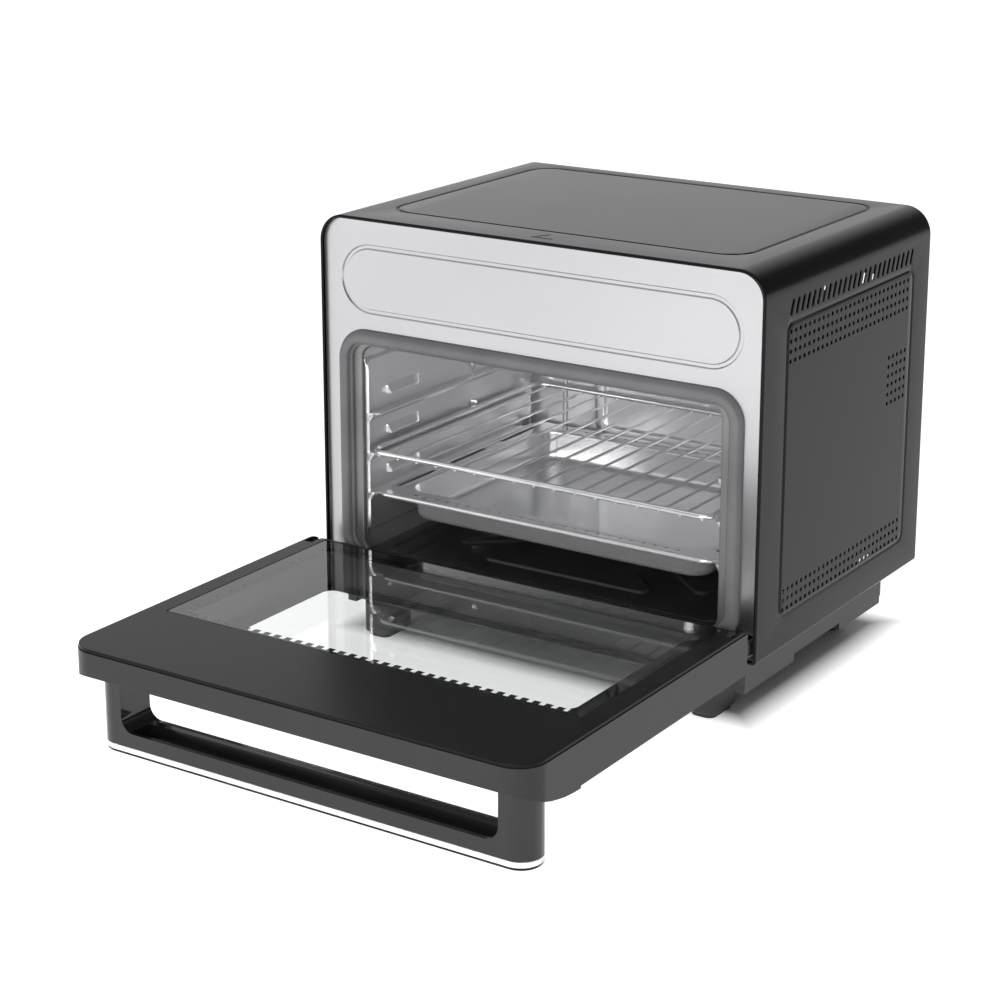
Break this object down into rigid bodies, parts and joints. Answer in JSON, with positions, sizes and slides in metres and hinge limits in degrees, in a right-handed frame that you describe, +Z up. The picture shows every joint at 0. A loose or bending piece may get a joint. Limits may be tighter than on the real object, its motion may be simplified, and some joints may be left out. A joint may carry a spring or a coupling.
{
  "type": "countertop toaster oven",
  "caption": "Countertop oven with a glazed drop-down door shown open, wire rack, baking tray, lined cavity and roof fan.",
  "frame": {"origin": "centre of the overall footprint with the door open, on the surface the feet stand on", "axes": "+X to the user's right when facing the door, +Y from the door towards the back, +Z up"},
  "size_m": [0.43, 0.646, 0.379],
  "materials": {
    "shell_paint": "satin",
    "front_steel": "brushed",
    "seal_rubber": "matte",
    "liner_steel": "satin",
    "floor_enamel": "gloss",
    "plated_steel": "satin",
    "bright_steel": "polished",
    "heater_alloy": "matte",
    "insulation_wool": "matte",
    "motor_metal": "satin",
    "board_laminate": "satin",
    "black_plastic": "satin",
    "foot_rubber": "matte",
    "door_plastic": "satin",
    "gloss_black": "gloss",
    "door_glass": "gloss",
    "trim_chrome": "polished",
    "rack_chrome": "polished",
    "tray_steel": "satin"
  },
  "bodies": {
    "oven": {"outer_shell": "shell_paint", "rear_cover": "shell_paint", "base_pan": "black_plastic", "front_panel": "front_steel", "door_gasket": "seal_rubber", "cavity_front_frame": "liner_steel", "cavity_left_wall": "liner_steel", "cavity_right_wall": "liner_steel", "cavity_roof": "liner_steel", "cavity_rear_wall": "liner_steel", "cavity_floor": "floor_enamel", "fan_cover": "liner_steel", "fan_chamber": "liner_steel", "upper_heating_element": "heater_alloy", "lower_heating_element": "heater_alloy", "insulation_boards": "insulation_wool", "temperature_probe": "bright_steel", "thermal_cutout": "plated_steel", "motor_bracket": "liner_steel", "fan_motor": "motor_metal", "cooling_fan_housing": "black_plastic", "power_board": "board_laminate", "power_components": "black_plastic", "board_standoffs": "bright_steel", "cord_gland": "black_plastic", "front_feet": "black_plastic", "front_foot_pads": "foot_rubber", "rear_feet": "foot_rubber", "hinge_bracket_left": "plated_steel", "hinge_bracket_right": "plated_steel", "hinge_pins": "bright_steel", "hinge_springs": "bright_steel", "rear_screws": "bright_steel", "base_screws": "bright_steel", "bracket_screws": "bright_steel"},
    "door": {"door_frame": "door_plastic", "door_inner_panel": "gloss_black", "door_inner_glass": "door_glass", "door_outer_glass": "door_glass", "touch_display": "gloss_black", "control_board": "board_laminate", "control_components": "black_plastic", "hinge_block_left": "plated_steel", "hinge_block_right": "plated_steel", "handle_body": "gloss_black", "handle_trim": "trim_chrome", "handle_face": "gloss_black", "handle_screws": "bright_steel"},
    "rack": {"wire_rack": "rack_chrome"},
    "tray": {"baking_tray": "tray_steel"},
    "fan": {"fan_impeller": "plated_steel", "fan_shaft": "bright_steel"},
    "cooling_fan": {"cooling_impeller": "black_plastic", "cooling_shaft": "bright_steel"}
  },
  "joints": [
    {"name": "door_hinge", "type": "hinge", "parent": "oven", "child": "door", "pos_m": [0, -0.0147, 0.0708], "axis": [-1, 0, 0], "range_deg": [0, 90]},
    {"name": "rack_slide", "type": "slide", "parent": "oven", "child": "rack", "axis": [0, 1, 0], "range_m": [-0.28, 0]},
    {"name": "tray_slide", "type": "slide", "parent": "oven", "child": "tray", "axis": [0, 1, 0], "range_m": [-0.28, 0]},
    {"name": "convection_fan_spin", "type": "hinge", "parent": "oven", "child": "fan", "pos_m": [0, 0.156, 0.297], "axis": [0, 0, 1], "continuous": true},
    {"name": "cooling_fan_spin", "type": "hinge", "parent": "oven", "child": "cooling_fan", "pos_m": [0.14, 0.3, 0.325], "axis": [0, 1, 0], "continuous": true}
  ]
}
